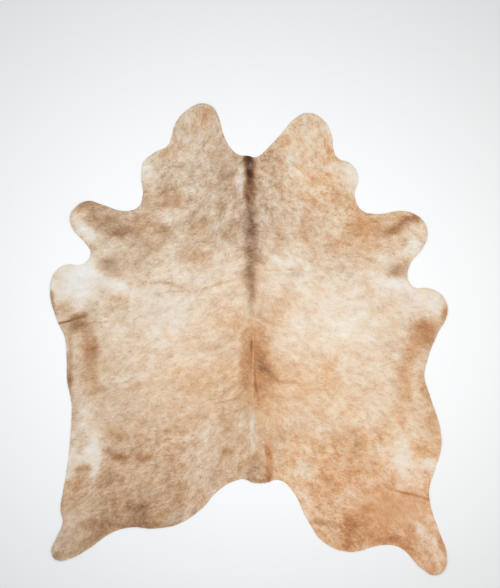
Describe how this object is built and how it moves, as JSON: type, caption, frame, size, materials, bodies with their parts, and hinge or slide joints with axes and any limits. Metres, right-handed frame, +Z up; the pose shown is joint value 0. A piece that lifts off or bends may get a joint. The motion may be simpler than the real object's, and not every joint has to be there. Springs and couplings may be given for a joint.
{
  "type": "hair-on cowhide rug",
  "caption": "Whole cowhide with its hair on, trimmed to a natural outline of neck lobes, shanks and belly lobes, lying flat as a floor rug.",
  "frame": {"origin": "on the ground, under the middle of the rug's box", "axes": "+Z up out of the hair side, +Y along the back from the tail to the neck, +X to the right as seen from above with the neck at the top"},
  "size_m": [1.9805, 2.35, 0.0195],
  "materials": {
    "hide": "hair-on leather: short lying hair, light tan with cream and brown mottling, a dark line along the back, natural suede underneath"
  },
  "bodies": {
    "root": {"hide": "hide"}
  },
  "joints": []
}
